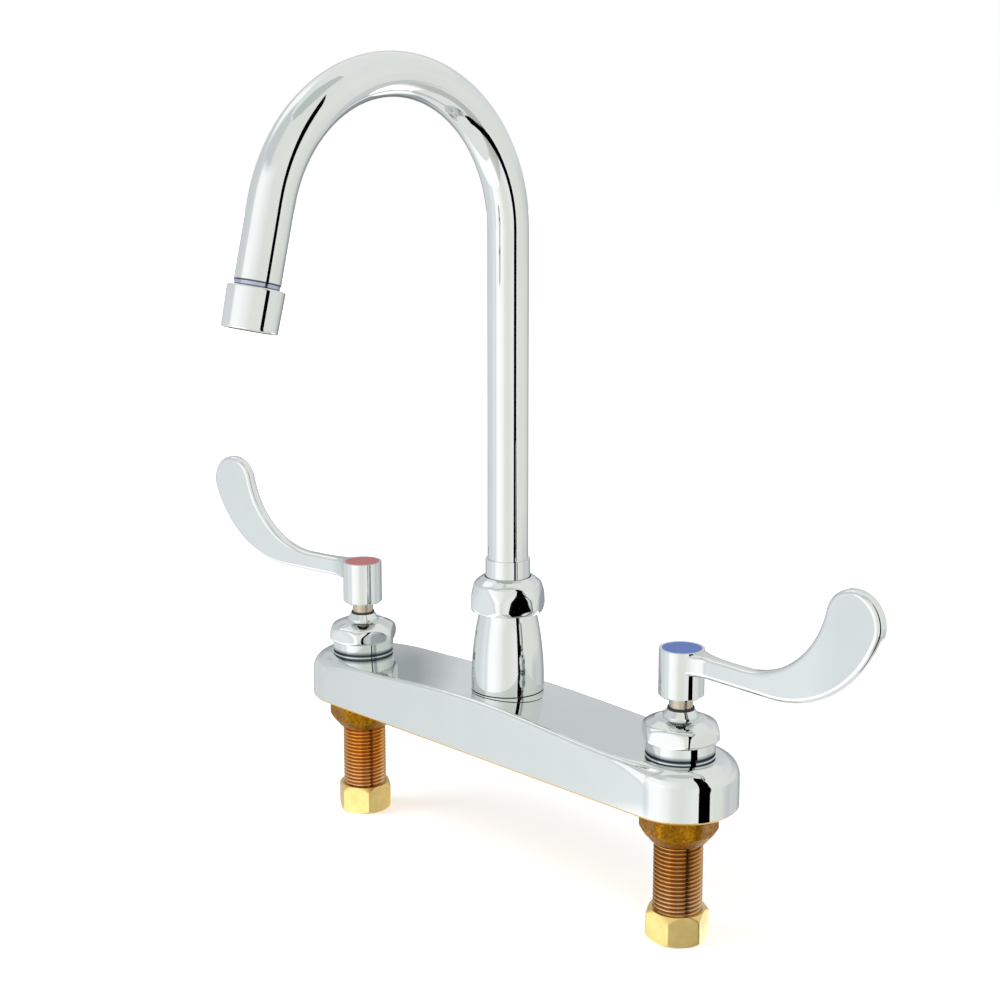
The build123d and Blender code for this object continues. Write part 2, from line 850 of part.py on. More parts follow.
def aerator_insert():
    """Flow straightener: a plug with rings of round cells."""
    bottom = aerator_bottom - aerator_wall
    insert = rod(aerator_bore - seat_gap, aerator_seat, bottom)
    cell = rod(aerator_cell_radius, aerator_seat, bottom)
    insert -= cell
    ring_pitch = (aerator_bore - aerator_lip - aerator_cell_radius) / aerator_cell_rings
    for ring in range(1, aerator_cell_rings + 1):
        insert -= [spot * cell for spot in PolarLocations(ring * ring_pitch, cells_in_first_ring * ring)]
    return insert


nodes["spout_sleeve"] = spout_sleeve()
nodes["spout_o_rings"] = spout_o_rings()
nodes["spout_tube"] = spout_tube()
nodes["aerator_housing"] = at_outlet(aerator_housing())
nodes["aerator_washer"] = at_outlet(aerator_washer())
nodes["aerator_insert"] = at_outlet(aerator_insert())


os.makedirs("parts", exist_ok=True)
for name, node in nodes.items():
    node.label = name
    export_step(node, f"parts/{name}.step")
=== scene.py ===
import json
import math

import bpy
from bpy.props import FloatProperty, FloatVectorProperty, PointerProperty
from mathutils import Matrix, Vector


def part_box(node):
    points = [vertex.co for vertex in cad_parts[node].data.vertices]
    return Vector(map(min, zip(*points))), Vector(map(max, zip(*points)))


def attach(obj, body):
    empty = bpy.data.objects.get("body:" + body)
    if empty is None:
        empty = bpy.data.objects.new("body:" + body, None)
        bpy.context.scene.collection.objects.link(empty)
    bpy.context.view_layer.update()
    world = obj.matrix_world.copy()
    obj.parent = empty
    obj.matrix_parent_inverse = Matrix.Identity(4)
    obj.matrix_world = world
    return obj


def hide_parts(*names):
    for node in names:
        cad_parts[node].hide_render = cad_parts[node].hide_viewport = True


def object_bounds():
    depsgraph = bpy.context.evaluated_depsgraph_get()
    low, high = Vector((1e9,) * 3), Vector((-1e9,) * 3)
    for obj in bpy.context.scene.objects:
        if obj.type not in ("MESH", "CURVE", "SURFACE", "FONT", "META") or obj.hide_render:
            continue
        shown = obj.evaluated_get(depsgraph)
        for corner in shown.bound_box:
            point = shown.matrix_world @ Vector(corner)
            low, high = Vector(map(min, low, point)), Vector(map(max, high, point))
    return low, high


bl_info = {
    "name": "Gooseneck faucet dressing",
    "version": (1, 0, 0),
    "blender": (4, 5, 0),
    "location": "View3D > Sidebar > Faucet",
    "description": "Finishes, detailed pieces and studio for a deck-mount gooseneck faucet",
    "category": "Object",
}

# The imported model. Lengths are in metres, +Z is up, the spout reaches towards -Y.
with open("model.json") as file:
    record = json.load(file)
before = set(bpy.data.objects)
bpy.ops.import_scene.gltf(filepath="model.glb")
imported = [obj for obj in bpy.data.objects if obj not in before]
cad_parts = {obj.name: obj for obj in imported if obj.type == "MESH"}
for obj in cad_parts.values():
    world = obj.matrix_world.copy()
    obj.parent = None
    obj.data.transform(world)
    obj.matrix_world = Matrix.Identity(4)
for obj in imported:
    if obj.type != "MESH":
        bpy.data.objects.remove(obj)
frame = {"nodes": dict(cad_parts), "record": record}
CAD_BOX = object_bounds()
bpy.ops.object.select_all(action="DESELECT")

MM = 0.001
# The valves' sides of the X axis
SIDES = {"hot": -1, "cold": 1}
SHANK_LOW, SHANK_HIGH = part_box("cold_shank")
SHANK_RADIUS = (SHANK_HIGH.x - SHANK_LOW.x) / 2
VALVE_X = (SHANK_LOW.x + SHANK_HIGH.x) / 2
BODY_HALF_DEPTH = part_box("body_casting")[1].y
MOUNTS = {mount["name"]: mount for mount in frame["record"]["mounts"]}
OUTLET_PLACE = Vector(MOUNTS["spout_outlet"]["pos_m"])
OUTLET_WAY = Vector(MOUNTS["spout_outlet"]["axis"])
RECORD_SLOTS = {part["node"]: part["material_slot"] for part in frame["record"]["subparts"]}


class FinishSettings(bpy.types.PropertyGroup):
    """Colours and surface values of the faucet's finishes."""

    chrome_color: FloatVectorProperty(
        name="Chrome", description="Reflection colour of the plating",
        subtype="COLOR", size=3, min=0, max=1, default=(0.715, 0.745, 0.735))
    chrome_roughness: FloatProperty(
        name="Chrome roughness", description="Blur of the plating's reflections",
        subtype="FACTOR", min=0, max=1, default=0.035)
    raw_brass_color: FloatVectorProperty(
        name="Bare brass", description="Unplated brass under the body",
        subtype="COLOR", size=3, min=0, max=1, default=(0.84, 0.56, 0.17))
    cast_brass_color: FloatVectorProperty(
        name="Cast brass", description="Grainy brass of the lock nuts",
        subtype="COLOR", size=3, min=0, max=1, default=(0.275, 0.122, 0.006))
    turned_brass_color: FloatVectorProperty(
        name="Turned brass", description="Pale machined brass of the coupling nuts",
        subtype="COLOR", size=3, min=0, max=1, default=(0.82, 0.61, 0.235))
    shank_color: FloatVectorProperty(
        name="Cold shank", description="Brown bronze of the cold side's threaded shank",
        subtype="COLOR", size=3, min=0, max=1, default=(0.50, 0.25, 0.075))
    hot_shank_color: FloatVectorProperty(
        name="Hot shank", description="More orange bronze of the hot side's threaded shank",
        subtype="COLOR", size=3, min=0, max=1, default=(0.66, 0.29, 0.055))
    stem_color: FloatVectorProperty(
        name="Stem", description="Warm nickel of the valve stems",
        subtype="COLOR", size=3, min=0, max=1, default=(0.53, 0.46, 0.36))
    hot_color: FloatVectorProperty(
        name="Hot button", description="Red index button",
        subtype="COLOR", size=3, min=0, max=1, default=(0.50, 0.085, 0.08))
    cold_color: FloatVectorProperty(
        name="Cold button", description="Blue index button",
        subtype="COLOR", size=3, min=0, max=1, default=(0.015, 0.105, 0.49))


class NutSettings(bpy.types.PropertyGroup):
    """Sizes of the nuts and threads."""

    bonnet_flats: FloatProperty(
        name="Bonnet nut flats", description="Width across the bonnet nut's flats",
        unit="LENGTH", min=20 * MM, max=40 * MM, default=30.7 * MM)
    bonnet_hardness: FloatProperty(
        name="Bonnet nut edges", description="Higher gives crisper edges between the flats",
        min=8, max=200, default=30.0)
    spout_flats: FloatProperty(
        name="Spout nut flats", description="Width across the spout nut's flats",
        unit="LENGTH", min=20 * MM, max=40 * MM, default=31.6 * MM)
    spout_hardness: FloatProperty(
        name="Spout nut edges", description="Higher gives crisper edges between the flats",
        min=8, max=200, default=32.0)
    lock_flats: FloatProperty(
        name="Lock nut flats", description="Width across the lock nut's flats",
        unit="LENGTH", min=20 * MM, max=40 * MM, default=30.2 * MM)
    lock_hardness: FloatProperty(
        name="Lock nut edges", description="Higher gives crisper edges between the flats",
        min=8, max=200, default=120.0)
    coupling_flats: FloatProperty(
        name="Coupling nut flats", description="Width across the coupling nut's flats",
        unit="LENGTH", min=15 * MM, max=30 * MM, default=23.8 * MM)
    coupling_hardness: FloatProperty(
        name="Coupling nut edges", description="Higher gives crisper edges between the flats",
        min=8, max=200, default=120.0)
    thread_pitch: FloatProperty(
        name="Thread pitch", description="Rise of the shank's thread in one turn",
        unit="LENGTH", min=0.5 * MM, max=4 * MM, default=25.4 / 14 * MM)
    thread_depth: FloatProperty(
        name="Thread depth", description="Depth of the shank's thread",
        unit="LENGTH", min=0.2 * MM, max=1.5 * MM, default=0.88 * MM)


class StudioSettings(bpy.types.PropertyGroup):
    """Camera and studio around the faucet."""

    camera_place: FloatVectorProperty(
        name="Camera", description="Where the camera stands",
        subtype="TRANSLATION", unit="LENGTH", size=3, default=(0.5480, -0.5448, 0.2813))
    camera_yaw: FloatProperty(
        name="Yaw", description="Turn of the camera to the left of +Y",
        subtype="ANGLE", default=math.radians(45.43))
    camera_pitch: FloatProperty(
        name="Pitch", description="How far the camera looks down",
        subtype="ANGLE", default=math.radians(9.72))
    camera_lens: FloatProperty(
        name="Lens", description="Focal length, in millimetres",
        unit="CAMERA", min=10, max=300, default=63.6)
    camera_shift: FloatProperty(
        name="Shift", description="Upward shift of the view, as a share of its width",
        min=-0.5, max=0.5, default=-0.0778)
    tent_radius: FloatProperty(
        name="Tent radius", description="From the spout's axis to the light tent's cloth",
        unit="LENGTH", min=0.2, max=3, default=1.1)


class Socket:
    """One output of a tree's nodes. Arithmetic on it adds Math nodes."""

    def __init__(self, maker, output):
        self.maker = maker
        self.output = output

    def _math(self, operation, first, second=None):
        values = {0: first} if second is None else {0: first, 1: second}
        return self.maker.add("ShaderNodeMath", {"operation": operation}, values)

    def __add__(self, other):
        return self._math("ADD", self, other)

    def __radd__(self, other):
        return self._math("ADD", other, self)

    def __sub__(self, other):
        return self._math("SUBTRACT", self, other)

    def __rsub__(self, other):
        return self._math("SUBTRACT", other, self)

    def __mul__(self, other):
        return self._math("MULTIPLY", self, other)

    def __rmul__(self, other):
        return self._math("MULTIPLY", other, self)

    def __lt__(self, other):
        return self._math("LESS_THAN", self, other)

    def __gt__(self, other):
        return self._math("GREATER_THAN", self, other)

    def __abs__(self):
        return self._math("ABSOLUTE", self)

    def sqrt(self):
        """Square root."""
        return self._math("SQRT", self)

    def at_least(self, low):
        """The larger of this value and a floor."""
        return self._math("MAXIMUM", self, low)


class Nodes:
    """Adds nodes to one tree, each by its type, settings and inputs."""

    def __init__(self, tree):
        self.tree = tree

    def add(self, kind, settings=None, values=None, out=0):
        """Add one node, set it, fill its inputs, and return one of its outputs."""
        node = self.tree.nodes.new(kind)
        for key, value in (settings or {}).items():
            if key == "stops":
                fill_ramp(node.color_ramp.elements, value)
            else:
                setattr(node, key, value)
        for key, value in (values or {}).items():
            self.feed(node.inputs[key], value)
        return Socket(self, node.outputs[out])

    def feed(self, target, value):
        """Link a socket, or set a plain value, on an input."""
        if isinstance(value, Socket):
            self.tree.links.new(value.output, target)
        else:
            target.default_value = value

    def ramp(self, value, low, high, start=0.0, end=1.0):
        """Map a value's stretch onto another one, held at its ends."""
        return self.add("ShaderNodeMapRange", {}, {
            "Value": value, "From Min": low, "From Max": high, "To Min": start, "To Max": end})

    def mix(self, share, first, second):
        """Mix two colours, which a Mix node has at inputs 6 and 7 and at output 2."""
        return self.add("ShaderNodeMix", {"data_type": "RGBA"}, {0: share, 6: first, 7: second}, 2)

    def seen_directly(self):
        """One where a camera, glossy or transmission ray looks, and zero elsewhere."""
        path = self.tree.nodes.new("ShaderNodeLightPath")
        total = Socket(self, path.outputs["Is Camera Ray"])
        for name in ("Is Glossy Ray", "Is Transmission Ray"):
            total = self.add("ShaderNodeMath", {"operation": "ADD", "use_clamp": True}, {
                0: total, 1: Socket(self, path.outputs[name])})
        return total


class Finish(Nodes):
    """One material and its Principled shader."""

    def __init__(self, name):
        self.material = bpy.data.materials.new(name)
        self.material.use_nodes = True
        super().__init__(self.material.node_tree)
        self.tree.nodes.clear()
        self.shader = self.tree.nodes.new("ShaderNodeBsdfPrincipled")
        self.output = self.tree.nodes.new("ShaderNodeOutputMaterial")
        self.surface(Socket(self, self.shader.outputs["BSDF"]))

    def surface(self, shader):
        """Show this shader on the surface."""
        self.feed(self.output.inputs["Surface"], shader)

    def set(self, **values):
        """Set the Principled shader's inputs by name, with spaces written as underscores."""
        for key, value in values.items():
            self.feed(self.shader.inputs[key.replace("_", " ")], value)

    def bump(self, height, distance, strength):
        """Small relief that feeds the shader's normal."""
        self.set(Normal=self.add("ShaderNodeBump", {}, {
            "Height": height, "Distance": distance, "Strength": strength}))

    def place(self):
        """Object coordinates, in metres."""
        return self.add("ShaderNodeTexCoord", out="Object")

    def axes(self):
        """The three Object coordinates as separate values."""
        split = self.tree.nodes.new("ShaderNodeSeparateXYZ")
        self.feed(split.inputs[0], self.place())
        return [Socket(self, output) for output in split.outputs]

    def noise(self, scale, detail, roughness=0.5):
        """Soft noise from 0 to 1, fixed to the object."""
        return self.add("ShaderNodeTexNoise", {}, {
            "Vector": self.place(), "Scale": scale, "Detail": detail, "Roughness": roughness})

    def stretched_noise(self, scale, stretch):
        """Noise drawn out along an axis, for tool and polishing marks."""
        mapped = self.add("ShaderNodeMapping", {}, {"Vector": self.place(), "Scale": stretch})
        return self.add("ShaderNodeTexNoise", {}, {
            "Vector": mapped, "Scale": scale, "Detail": 2.0})


def fill_ramp(elements, stops):
    """Put stops of (place, colour) on a new colour ramp, which starts with two."""
    elements[0].position, elements[0].color = stops[0][0], (*stops[0][1], 1.0)
    elements[1].position, elements[1].color = stops[-1][0], (*stops[-1][1], 1.0)
    for place, color in stops[1:-1]:
        elements.new(place).color = (*color, 1.0)


def rgba(color, gain=1.0):
    """A colour with its fourth part, brightened or darkened by a factor."""
    return (*[min(1.0, part * gain) for part in color], 1.0)


def finish_settings():
    """The colours that the panel shows."""
    return bpy.context.scene.faucet_finish


def from_valve(x, y):
    """Distance from the nearer valve's axis."""
    away = abs(x) - VALVE_X
    return (away * away + y * y).sqrt()


def plating(made):
    """The haze of hand polishing, from 0 to 1, and the plating's colour under it."""
    color = finish_settings().chrome_color
    haze = made.ramp(made.noise(scale=38.0, detail=4.0), low=0.35, high=0.75)
    return haze, made.mix(haze, rgba(color), rgba(color, gain=0.965))


def chrome():
    """Bright plating over a hand-polished casting: faint waves, haze and wiped streaks."""
    made = Finish("chrome_plating")
    haze, color = plating(made)
    streak = made.stretched_noise(scale=900.0, stretch=(1.0, 1.0, 0.06))
    blur = finish_settings().chrome_roughness
    made.set(
        Base_Color=color,
        Metallic=1.0,
        Roughness=haze * 0.022 + streak * 0.012 + blur * 0.6,
    )
    made.bump(made.noise(scale=55.0, detail=1.0), distance=0.04 * MM, strength=0.25)
    return made.material


# Painted shade of a shadowed neck band on the spout tube, a slate band between two dark painted
# crease lines, measured along the tube from the outlet's mount
BAND_START, BAND_END = -18.5 * MM, -15.1 * MM
SLATE_MIDDLE, SLATE_HALF_WIDTH = -17.2 * MM, 0.62 * MM
BAND_SIDE_Y = -100 * MM
# Colours of the painted shade: the band's slate, and its two dark crease lines
BAND_SHADE_SLATE, CREASE_SHADE_DARK = (0.43, 0.47, 0.56, 1.0), (0.10, 0.11, 0.14, 1.0)


def tube_plating():
    """The spout tube's plating, with painted shade where the aerator screws on: a slate band
    between two dark painted crease lines.
    """
    made = Finish("tube_plating")
    _, y, z = made.axes()
    along = (y - OUTLET_PLACE.y) * OUTLET_WAY.y + (z - OUTLET_PLACE.z) * OUTLET_WAY.z
    # Painted shade: the band, and the two dark painted crease lines at its edges
    marked_zone = (along > BAND_START) * (along < BAND_END) * (y < BAND_SIDE_Y)
    edges = marked_zone * (abs(along - SLATE_MIDDLE) > SLATE_HALF_WIDTH)
    haze, plated = plating(made)
    blur = finish_settings().chrome_roughness
    made.set(
        Base_Color=made.mix(edges, made.mix(marked_zone, plated, BAND_SHADE_SLATE), CREASE_SHADE_DARK),
        Metallic=1.0,
        Roughness=haze * 0.022 + blur * 0.7 + marked_zone * 0.12,
    )
    made.bump(made.noise(scale=55.0, detail=1.0), distance=0.04 * MM, strength=0.25)
    return made.material


# Where the body's plating ends: its rim on the deck and the hollow inside its walls
RIM_HEIGHT = 1.0 * MM
HOLLOW_HEIGHT, WALL_THICKNESS = 17.2 * MM, 3.6 * MM
# Painted shade and dark reflection: a dark ring at the foot of each valve neck, which fades out
# upwards
NECK_SHADE_RADIUS = 15.0 * MM
NECK_SHADE_LOW, NECK_SHADE_FADES, NECK_SHADE_HIGH = 22.3 * MM, 23.5 * MM, 25.2 * MM
NECK_SHADE_COLOR = (0.10, 0.125, 0.15, 1.0)


def plated_body():
    """The same plating on the body, with bare brass on the rim and inside the hollow, and a ring
    of painted shade at the foot of each valve neck.
    """
    made = Finish("plated_body")
    look = finish_settings()
    x, y, z = made.axes()
    past_valve = (abs(x) - VALVE_X).at_least(0.0)
    from_middle = (past_valve * past_valve + y * y).sqrt()
    inside = (from_middle < BODY_HALF_DEPTH - WALL_THICKNESS) * (z < HOLLOW_HEIGHT)
    bare = ((z < RIM_HEIGHT) + inside) > 0.5
    # Painted shade: the dark ring in the groove at each neck's foot, fading out upwards
    at_neck = (from_valve(x, y) < NECK_SHADE_RADIUS) * (z > NECK_SHADE_LOW)
    ring = at_neck * made.ramp(z, NECK_SHADE_FADES, NECK_SHADE_HIGH, start=1.0, end=0.0)
    haze, bright = plating(made)
    plated = made.mix(ring, bright, NECK_SHADE_COLOR)
    grain = made.noise(scale=900.0, detail=4.0, roughness=0.7)
    brass = made.mix(
        grain, rgba(look.raw_brass_color, gain=0.75), rgba(look.raw_brass_color, gain=1.15))
    made.set(
        Base_Color=made.mix(bare, plated, brass),
        Metallic=1.0,
        Roughness=haze * 0.022 + look.chrome_roughness * 0.8 + bare * (grain * 0.2 + 0.22),
    )
    waves = made.noise(scale=42.0, detail=1.0)
    made.bump(waves + bare * grain * 0.5, distance=0.05 * MM, strength=0.3)
    return made.material


def cast_brass():
    """Sand-cast brass: grainy, with darker hollows and a few bright rubbed spots."""
    made = Finish("cast_brass_grain")
    color = finish_settings().cast_brass_color
    grain = made.noise(scale=750.0, detail=5.0, roughness=0.8)
    patch = made.noise(scale=160.0, detail=3.0)
    tone = made.ramp(grain * 0.75 + patch * 0.25, low=0.38, high=0.62)
    made.set(
        Base_Color=made.mix(tone, rgba(color, gain=0.45), rgba(color, gain=1.75)),
        Metallic=1.0,
        Roughness=0.52 - tone * 0.2,
    )
    made.bump(grain, distance=0.22 * MM, strength=0.75)
    return made.material


def turned_brass():
    """Machined brass: fine tool lines and slight tarnish."""
    made = Finish("turned_brass_lines")
    color = finish_settings().turned_brass_color
    lines = made.stretched_noise(scale=260.0, stretch=(0.25, 0.25, 20.0))
    tarnish = made.ramp(made.noise(scale=120.0, detail=4.0), low=0.38, high=0.72)
    made.set(
        Base_Color=made.mix(tarnish, rgba(color, gain=1.04), rgba(color, gain=0.84)),
        Metallic=1.0,
        Roughness=0.27 + tarnish * 0.10 + lines * 0.06,
    )
    made.bump(lines, distance=0.01 * MM, strength=0.3)
    return made.material


# The shank's bronze: roots and crests by depth below the outer radius, wear by height
ROOT_DEPTH, CREST_DEPTH = 0.75 * MM, 0.05 * MM
WORN_HEIGHT = 26 * MM
ROOT_STAIN, RUBBED_BRONZE = (0.05, 0.02, 0.008, 1.0), (0.66, 0.50, 0.34, 1.0)


def shank_bronze():
    """Bronze thread: brown and dull in the roots, rubbed bright on the crests near the end."""
    made = Finish("threaded_bronze")
    look = finish_settings()
    x, y, z = made.axes()
    crest = made.ramp(from_valve(x, y), SHANK_RADIUS - ROOT_DEPTH, SHANK_RADIUS - CREST_DEPTH)
    marked_zone = made.ramp(z, SHANK_LOW.z, SHANK_LOW.z + WORN_HEIGHT, start=1.0, end=0.0)
    stain = made.noise(scale=220.0, detail=4.0)
    tone = made.mix(x < 0.0, rgba(look.shank_color), rgba(look.hot_shank_color))
    dull = made.mix(stain * 0.35 + 0.2, tone, ROOT_STAIN)
    bright = made.mix(marked_zone * 0.75, tone, RUBBED_BRONZE)
    made.set(
        Base_Color=made.mix(crest, dull, bright),
        Metallic=1.0,
        Roughness=0.22 - crest * 0.10 + stain * 0.06,
    )
    made.bump(made.noise(scale=1800.0, detail=3.0), distance=0.02 * MM, strength=0.4)
    return made.material


def stem_nickel():
    """Warm nickel stem with fine turning lines."""
    made = Finish("nickel_stem")
    color = finish_settings().stem_color
    lines = made.stretched_noise(scale=300.0, stretch=(0.2, 0.2, 60.0))
    made.set(
        Base_Color=made.mix(lines, rgba(color, gain=0.86), rgba(color, gain=1.1)),
        Metallic=1.0,
        Roughness=0.2 + lines * 0.14,
    )
    made.bump(lines, distance=0.02 * MM, strength=0.5)
    return made.material


def steel_screw():
    """Plain stainless steel with a brushed grain."""
    made = Finish("stainless_screw")
    lines = made.stretched_noise(scale=400.0, stretch=(1.0, 1.0, 0.1))
    made.set(
        Base_Color=made.mix(lines, (0.50, 0.51, 0.52, 1.0), (0.66, 0.67, 0.68, 1.0)),
        Metallic=1.0,
        Roughness=0.26 + lines * 0.16,
    )
    made.bump(lines, distance=0.02 * MM, strength=0.4)
    return made.material


def button_plastic(name, color):
    """Moulded plastic index button: glossy, with a slightly pebbled skin and rubbed haze."""
    made = Finish(name)
    haze = made.ramp(made.noise(scale=700.0, detail=3.0), low=0.35, high=0.7)
    made.set(
        Base_Color=made.mix(haze, rgba(color, gain=0.95), rgba(color, gain=1.06)),
        Roughness=0.24 + haze * 0.08,
    )
    made.bump(made.noise(scale=900.0, detail=2.0), distance=0.004 * MM, strength=0.2)
    return made.material


def moulded(name, dark, light, roughness):
    """A plain moulded or fired part: faint mottling over a fine skin."""
    made = Finish(name)
    mottle = made.noise(scale=300.0, detail=4.0)
    made.set(
        Base_Color=made.mix(mottle, rgba(dark), rgba(light)),
        Roughness=roughness + mottle * 0.12,
    )
    made.bump(made.noise(scale=1600.0, detail=3.0), distance=0.03 * MM, strength=0.4)
    return made.material


class FAUCET_OT_finishes(bpy.types.Operator):
    """Make the finishes and put them on the frame's own pieces"""

    bl_idname = "faucet.finishes"
    bl_label = "Finish the pieces"

    def execute(self, context):
        look = finish_settings()
        by_slot = {
            "chrome": chrome(),
            "bronze": shank_bronze(),
            "cast_brass": cast_brass(),
            "turned_brass": turned_brass(),
            "nickel": stem_nickel(),
            "stainless": steel_screw(),
            "hot_red": button_plastic("hot_button_red", look.hot_color),
            "cold_blue": button_plastic("cold_button_blue", look.cold_color),
            "black_rubber": moulded(
                "black_rubber_skin", dark=(0.012, 0.012, 0.012), light=(0.03, 0.03, 0.03),
                roughness=0.55),
            "ceramic": moulded(
                "lapped_ceramic", dark=(0.82, 0.81, 0.78), light=(0.9, 0.89, 0.86),
                roughness=0.18),
            "white_nylon": moulded(
                "natural_nylon", dark=(0.74, 0.73, 0.68), light=(0.84, 0.83, 0.79),
                roughness=0.4),
        }
        by_node = {"body_casting": plated_body(), "spout_tube": tube_plating()}
        for name, node in frame["nodes"].items():
            for place in node.material_slots:
                place.material = by_node.get(name, by_slot[RECORD_SLOTS[name]])
        return {"FINISHED"}


# An outline's bends have this many parts, and reach along this share of a side at most
BEND_PARTS = 8
LONGEST_REACH = 0.49
# About how long the steps along an outline's straight sides are, in millimetres
OUTLINE_STEP = 0.45


def bend_points(back, here, ahead, rounding):
    """Points of a smooth bend round a corner, or the corner alone where it is sharp."""
    if rounding == 0:
        return [here]
    to_back, to_ahead = back - here, ahead - here
    reach = min(rounding / math.tan(to_back.angle(to_ahead) / 2),
                to_back.length * LONGEST_REACH, to_ahead.length * LONGEST_REACH)
    start = here + to_back.normalized() * reach
    end = here + to_ahead.normalized() * reach
    shares = [k / BEND_PARTS for k in range(BEND_PARTS + 1)]
    return [start * (1 - share) ** 2 + here * 2 * share * (1 - share) + end * share ** 2
            for share in shares]


def outline_points(outline, top):
    """Points of (radius, z), in metres, along a closed outline that hangs from a height."""
    corners = [Vector((radius, top / MM - drop)) for radius, drop, rounding in outline]
    count = len(corners)
    bends = [bend_points(corners[i - 1], corners[i], corners[(i + 1) % count], outline[i][2])
             for i in range(count)]
    even = []
    for i, bend in enumerate(bends):
        even += bend
        last, following = bend[-1], bends[(i + 1) % count][0]
        parts = max(1, round((following - last).length / OUTLINE_STEP))
        even += [last.lerp(following, k / parts) for k in range(1, parts)]
    return [(point.x * MM, point.y * MM) for point in even]


def close_and_smooth(merge_distance, crease_angle):
    """Leave edit mode with the doubles merged, the faces outwards and the shading smooth."""
    bpy.ops.mesh.select_all(action="SELECT")
    bpy.ops.mesh.remove_doubles(threshold=merge_distance)
    bpy.ops.mesh.normals_make_consistent(inside=False)
    bpy.ops.object.mode_set(mode="OBJECT")
    bpy.ops.object.shade_smooth_by_angle(angle=math.radians(crease_angle))


def ring_piece(name, outline, around=144):
    """Model a ring by extruding and scaling a circle along its closed outline."""
    bpy.ops.object.select_all(action="DESELECT")
    radius, height = outline[0]
    bpy.ops.mesh.primitive_circle_add(vertices=around, radius=radius, location=(0, 0, height))
    piece = bpy.context.object
    piece.name = name
    bpy.ops.object.transform_apply(location=True, rotation=False, scale=False)
    bpy.ops.object.mode_set(mode="EDIT")
    bpy.ops.mesh.select_all(action="SELECT")
    for following_radius, following_height in [*outline[1:], outline[0]]:
        bpy.ops.mesh.extrude_region_move(
            TRANSFORM_OT_translate={"value": (0, 0, following_height - height)})
        scale = following_radius / radius
        bpy.ops.transform.resize(
            value=(scale, scale, 1), center_override=(0, 0, following_height))
        radius, height = following_radius, following_height
    close_and_smooth(merge_distance=0.01 * MM, crease_angle=40)
    return piece


def press_flats(piece, across_flats, hardness):
    """Press six flats into a ring, a corner towards +X, and blend them softly into it."""
    apothem = across_flats / 2
    for vertex in piece.data.vertices:
        radius = math.hypot(vertex.co.x, vertex.co.y)
        turn = math.atan2(vertex.co.y, vertex.co.x)
        total = 1.0
        for flat in range(30, 390, 60):
            total += max(0.0, radius * math.cos(turn - math.radians(flat)) / apothem) ** hardness
        shrink = total ** (-1 / hardness)
        vertex.co.x *= shrink
        vertex.co.y *= shrink


def stand_at(piece, x, turn):
    """Turn a piece about its own axis, set it over x, and apply its place to its mesh."""
    bpy.ops.object.select_all(action="DESELECT")
    piece.select_set(True)
    bpy.context.view_layer.objects.active = piece
    piece.rotation_euler.z = math.radians(turn)
    piece.location.x = x
    bpy.ops.object.transform_apply(location=True, rotation=True, scale=False)


def dress(piece, node):
    """Let a piece stand for a node of the faucet's body, with that node's finish."""
    piece.data.materials.clear()
    piece.data.materials.append(frame["nodes"][node].material_slots[0].material)
    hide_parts(node)
    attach(piece, "body")


def pair_up(model, kind, turns):
    """Copy a finished model to both valves, each copy with its own mesh and turn."""
    for side, sign in SIDES.items():
        piece = model.copy()
        piece.data = model.data.copy()
        piece.name = f"{side}_{kind}_dressed"
        bpy.context.collection.objects.link(piece)
        stand_at(piece, sign * VALVE_X, turns[side])
        dress(piece, f"{side}_{kind}")
    bpy.data.objects.remove(model)


# Radii of the nuts' holes: for the valve's stem, cartridge and neck, the spout's sleeve,
# the riser's thread, the shank's thread and the supply tube, in millimetres
STEM_HOLE, CARTRIDGE_HOLE, NECK_HOLE = 6.9, 9.2, 12.55
SLEEVE_HOLE, RISER_HOLE = 10.5, 12.95
SHANK_HOLE, SUPPLY_HOLE = 10.53, 7.6
# Outlines of the nuts: corners of (radius, drop below the top, rounding), in millimetres
BONNET_OUTLINE = [
    (STEM_HOLE, 0, 0), (7.9, 0, 0.25), (10.6, 0.5, 3.0), (15.6, 2.7, 7.0), (17.9, 5.7, 3.6),
    (17.9, 8.1, 1.6), (16.0, 9.4, 0.8), (NECK_HOLE, 9.4, 0), (NECK_HOLE, 15.5, 0),
    (CARTRIDGE_HOLE, 15.5, 0), (CARTRIDGE_HOLE, 2.4, 0), (STEM_HOLE, 2.4, 0)]
SPOUT_OUTLINE = [
    (SLEEVE_HOLE, 0, 0.3), (12.4, 0.9, 1.5), (15.2, 3.2, 4.0), (17.3, 8.6, 6.0),
    (17.8, 13.6, 1.2), (16.4, 15.8, 0.7), (RISER_HOLE, 15.8, 0), (RISER_HOLE, 2.8, 0),
    (SLEEVE_HOLE, 2.8, 0)]
LOCK_OUTLINE = [
    (SHANK_HOLE, 0, 0), (16.7, 0, 0.4), (16.7, 9.9, 1.4), (12.1, 15.4, 0.7),
    (SHANK_HOLE, 15.4, 0)]
COUPLING_OUTLINE = [
    (SHANK_HOLE, 0, 0), (12.0, 0, 0.2), (14.1, 2.9, 0), (14.1, 11.6, 0), (12.1, 13.4, 0.2),
    (SUPPLY_HOLE, 13.4, 0), (SUPPLY_HOLE, 11.2, 0), (SHANK_HOLE, 11.2, 0)]
# How far each nut is turned from having a corner towards +X, in degrees
BONNET_TURNS = {"hot": -50.4, "cold": -41.0}
SPOUT_TURN = -57.0
LOCK_TURNS = {"hot": -71.0, "cold": -81.0}
COUPLING_TURNS = {"hot": -31.6, "cold": -67.8}


class FAUCET_OT_bonnet_nuts(bpy.types.Operator):
    """Model the domed bonnet nuts with their polished, soft edges"""

    bl_idname = "faucet.bonnet_nuts"
    bl_label = "Bonnet nuts"

    def execute(self, context):
        nuts = context.scene.faucet_nuts
        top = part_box("cold_bonnet_nut")[1].z
        nut = ring_piece("bonnet_nut_model", outline_points(BONNET_OUTLINE, top))
        press_flats(nut, nuts.bonnet_flats, nuts.bonnet_hardness)
        pair_up(nut, "bonnet_nut", BONNET_TURNS)
        return {"FINISHED"}


